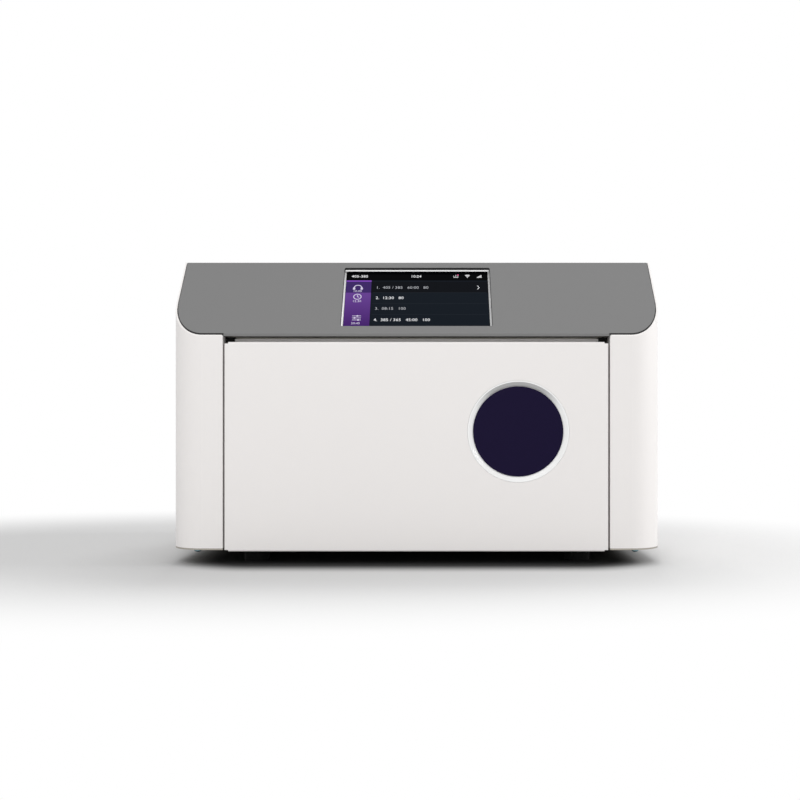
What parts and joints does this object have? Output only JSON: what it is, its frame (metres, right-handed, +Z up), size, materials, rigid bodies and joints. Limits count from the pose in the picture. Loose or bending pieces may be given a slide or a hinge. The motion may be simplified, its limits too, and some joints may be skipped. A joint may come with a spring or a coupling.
{
  "type": "dental lab light curing unit",
  "caption": "Bench curing unit with white sheet-metal side cheeks, sloped grey display panel and a sliding front drawer that carries work under an LED lamp chamber.",
  "frame": {"origin": "on the surface it stands on, under the middle of the overall width and depth", "axes": "+Z up, +X to the viewer's right when facing the front, -Y out of the front"},
  "size_m": [0.37, 0.24, 0.2347],
  "materials": {
    "painted_white": "fine satin powder coat, warm white",
    "cover_grey": "fine matt powder coat, mid grey",
    "badge_white": "moulded, satin gloss",
    "badge_dark": "very dark navy, smooth",
    "bezel_silver": "satin silver",
    "screen_glass": "dark cover glass over the display, flat",
    "screen_black": "black display module",
    "zinc_sheet": "zinc-plated sheet, slightly warm",
    "mirror_sheet": "polished reflector sheet",
    "runner_steel": "bright zinc-plated rolled steel",
    "ball_steel": "polished bearing steel",
    "blue_zinc": "blue-passivated zinc screws",
    "black_rubber": "matt black rubber",
    "black_foam": "soft closed-cell foam",
    "silicone": "translucent silicone",
    "plate_glass": "clear borosilicate plate",
    "black_plastic": "moulded black plastic",
    "board_green": "circuit board",
    "board_white": "white solder mask on an aluminium core",
    "led_white": "LED packages",
    "heat_sink": "natural anodised extrusion",
    "magnet": "plastic-cased magnet",
    "brass_pin": "bright brass"
  },
  "bodies": {
    "housing": {"base_plate": "zinc_sheet", "right_cheek": "painted_white", "left_cheek": "painted_white", "top_cover": "cover_grey", "rear_panel": "painted_white", "rubber_feet": "black_rubber", "base_screws": "blue_zinc", "panel_screws": "blue_zinc", "display_bezel": "bezel_silver", "display_glass": "screen_glass", "display_module": "screen_black", "display_bracket": "zinc_sheet", "control_board": "board_green", "right_chassis_wall": "zinc_sheet", "left_chassis_wall": "zinc_sheet", "chassis_deck": "zinc_sheet", "right_reflector": "mirror_sheet", "left_reflector": "mirror_sheet", "rear_reflector": "mirror_sheet", "lamp_window": "plate_glass", "window_frame": "heat_sink", "led_board": "board_white", "led_array": "led_white", "heat_sink": "heat_sink", "sink_fan_frame": "black_plastic", "exhaust_fan_frame": "black_plastic", "power_inlet": "black_plastic", "inlet_pins": "brass_pin", "switch_housing": "black_plastic", "power_supply": "zinc_sheet", "terminal_block": "black_plastic", "led_driver": "board_green", "catch_magnets": "magnet", "interlock_sensor": "black_plastic", "right_runner_outer": "runner_steel", "left_runner_outer": "runner_steel"},
    "drawer": {"drawer_front": "painted_white", "badge_cup": "badge_white", "badge_disc": "badge_dark", "drawer_liner": "mirror_sheet", "light_seal": "black_foam", "drawer_tray": "mirror_sheet", "plate_pads": "silicone", "work_plate": "plate_glass", "drawer_screws": "blue_zinc", "catch_strikes": "zinc_sheet", "interlock_magnet": "magnet", "right_runner_inner": "runner_steel", "left_runner_inner": "runner_steel"},
    "runner_middles": {"right_runner_middle": "runner_steel", "left_runner_middle": "runner_steel"},
    "outer_cages": {"outer_ball_cages": "ball_steel"},
    "inner_cages": {"inner_ball_cages": "ball_steel"},
    "sink_fan_rotor": {"sink_fan_rotor": "black_plastic"},
    "exhaust_fan_rotor": {"exhaust_fan_rotor": "black_plastic"},
    "switch_rocker": {"switch_rocker": "black_plastic"}
  },
  "joints": [
    {"name": "drawer_slide", "type": "slide", "parent": "housing", "child": "drawer", "axis": [0, -1, 0], "range_m": [0, 0.16]},
    {"name": "runner_middle_slide", "type": "slide", "parent": "housing", "child": "runner_middles", "axis": [0, -1, 0], "range_m": [0, 0.08]},
    {"name": "outer_cage_slide", "type": "slide", "parent": "housing", "child": "outer_cages", "axis": [0, -1, 0], "range_m": [0, 0.04]},
    {"name": "inner_cage_slide", "type": "slide", "parent": "housing", "child": "inner_cages", "axis": [0, -1, 0], "range_m": [0, 0.12]},
    {"name": "sink_fan_spin", "type": "hinge", "parent": "housing", "child": "sink_fan_rotor", "pos_m": [0, -0.02, 0.1932], "axis": [0, 0, 1], "continuous": true},
    {"name": "exhaust_fan_spin", "type": "hinge", "parent": "housing", "child": "exhaust_fan_rotor", "pos_m": [0.08, 0.1, 0.1052], "axis": [0, 1, 0], "continuous": true},
    {"name": "power_switch", "type": "hinge", "parent": "housing", "child": "switch_rocker", "pos_m": [-0.072, 0.1135, 0.0982], "axis": [1, 0, 0], "range_deg": [-20, 0]}
  ],
  "couplings": [
    {"joint": "runner_middle_slide", "follows": "drawer_slide", "ratio": 0.5},
    {"joint": "outer_cage_slide", "follows": "drawer_slide", "ratio": 0.25},
    {"joint": "inner_cage_slide", "follows": "drawer_slide", "ratio": 0.75}
  ]
}
